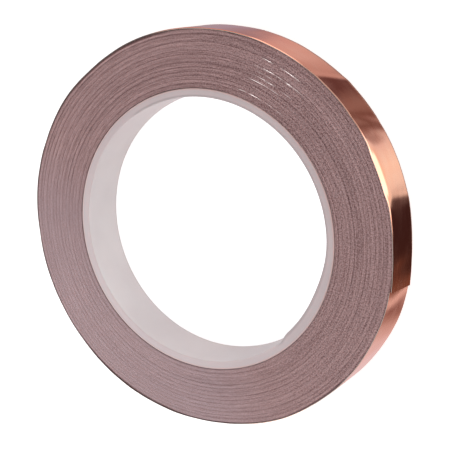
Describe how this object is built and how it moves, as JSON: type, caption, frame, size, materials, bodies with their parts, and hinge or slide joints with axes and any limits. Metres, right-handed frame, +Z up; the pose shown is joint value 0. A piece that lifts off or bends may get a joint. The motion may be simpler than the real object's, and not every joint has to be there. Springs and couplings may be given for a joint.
{
  "type": "copper foil tape roll",
  "caption": "Flat-lying roll of adhesive copper foil tape with a paper liner, wound on a plastic core; its free end lifts off the roll and the liner parts from the foil.",
  "frame": {"origin": "centre of the core's bore, on the lower face that the roll lies on", "axes": "+Z up along the roll's axis; +X through the free end of the tape at the upper face; +Y to the side that the tail lies on"},
  "size_m": [0.114, 0.1139, 0.015],
  "materials": {
    "core": "satin, slightly translucent",
    "wound_edge": "fine edges of wound foil and paper",
    "foil": "bright rolled copper",
    "adhesive": "clear tacky coat",
    "liner": "smooth silicone-coated paper"
  },
  "bodies": {
    "roll": {"core": "core", "wound_tape": "wound_edge", "outer_turn_foil": "foil", "outer_turn_adhesive": "adhesive", "outer_turn_liner": "liner"},
    "tail_1": {"tail_foil_1": "foil", "tail_adhesive_1": "adhesive", "tail_liner_1": "liner"},
    "tail_2": {"tail_foil_2": "foil", "tail_adhesive_2": "adhesive", "tail_liner_2": "liner"},
    "tail_3": {"tail_foil_3": "foil", "tail_adhesive_3": "adhesive", "tail_liner_3": "liner"},
    "tail_4": {"tail_foil_4": "foil", "tail_adhesive_4": "adhesive", "tail_liner_4": "liner"},
    "tail_5": {"tail_foil_5": "foil", "tail_adhesive_5": "adhesive"},
    "liner_5": {"tail_liner_5": "liner"},
    "tail_6": {"tail_foil_6": "foil", "tail_adhesive_6": "adhesive"},
    "liner_6": {"tail_liner_6": "liner"}
  },
  "joints": [
    {"name": "tail_lift", "type": "hinge", "parent": "roll", "child": "tail_1", "pos_m": [0.01761, 0.05421, 0.0075], "axis": [0, 0, 1], "range_deg": [0, 18]},
    {"name": "tail_bend_2", "type": "hinge", "parent": "tail_1", "child": "tail_2", "pos_m": [0.0285, 0.04936, 0.0075], "axis": [0, 0, 1], "range_deg": [0, 18]},
    {"name": "tail_bend_3", "type": "hinge", "parent": "tail_2", "child": "tail_3", "pos_m": [0.03814, 0.04236, 0.0075], "axis": [0, 0, 1], "range_deg": [0, 18]},
    {"name": "tail_bend_4", "type": "hinge", "parent": "tail_3", "child": "tail_4", "pos_m": [0.04611, 0.0335, 0.0075], "axis": [0, 0, 1], "range_deg": [0, 18]},
    {"name": "tail_bend_5", "type": "hinge", "parent": "tail_4", "child": "tail_5", "pos_m": [0.05207, 0.02318, 0.0075], "axis": [0, 0, 1], "range_deg": [0, 18]},
    {"name": "tail_bend_6", "type": "hinge", "parent": "tail_5", "child": "tail_6", "pos_m": [0.05575, 0.01185, 0.0075], "axis": [0, 0, 1], "range_deg": [0, 18]},
    {"name": "liner_peel_5", "type": "hinge", "parent": "tail_4", "child": "liner_5", "pos_m": [0.05193, 0.02312, 0.0075], "axis": [0, 0, 1], "range_deg": [-6, 0]},
    {"name": "liner_peel_6", "type": "hinge", "parent": "liner_5", "child": "liner_6", "pos_m": [0.0556, 0.01182, 0.0075], "axis": [0, 0, 1], "range_deg": [-6, 0]}
  ],
  "couplings": [
    {"joint": "tail_bend_2", "follows": "tail_lift", "ratio": 1},
    {"joint": "tail_bend_3", "follows": "tail_lift", "ratio": 1},
    {"joint": "tail_bend_4", "follows": "tail_lift", "ratio": 1},
    {"joint": "tail_bend_5", "follows": "tail_lift", "ratio": 1},
    {"joint": "tail_bend_6", "follows": "tail_lift", "ratio": 1},
    {"joint": "liner_peel_5", "follows": "tail_lift", "ratio": -0.3},
    {"joint": "liner_peel_6", "follows": "tail_lift", "ratio": -0.3}
  ]
}
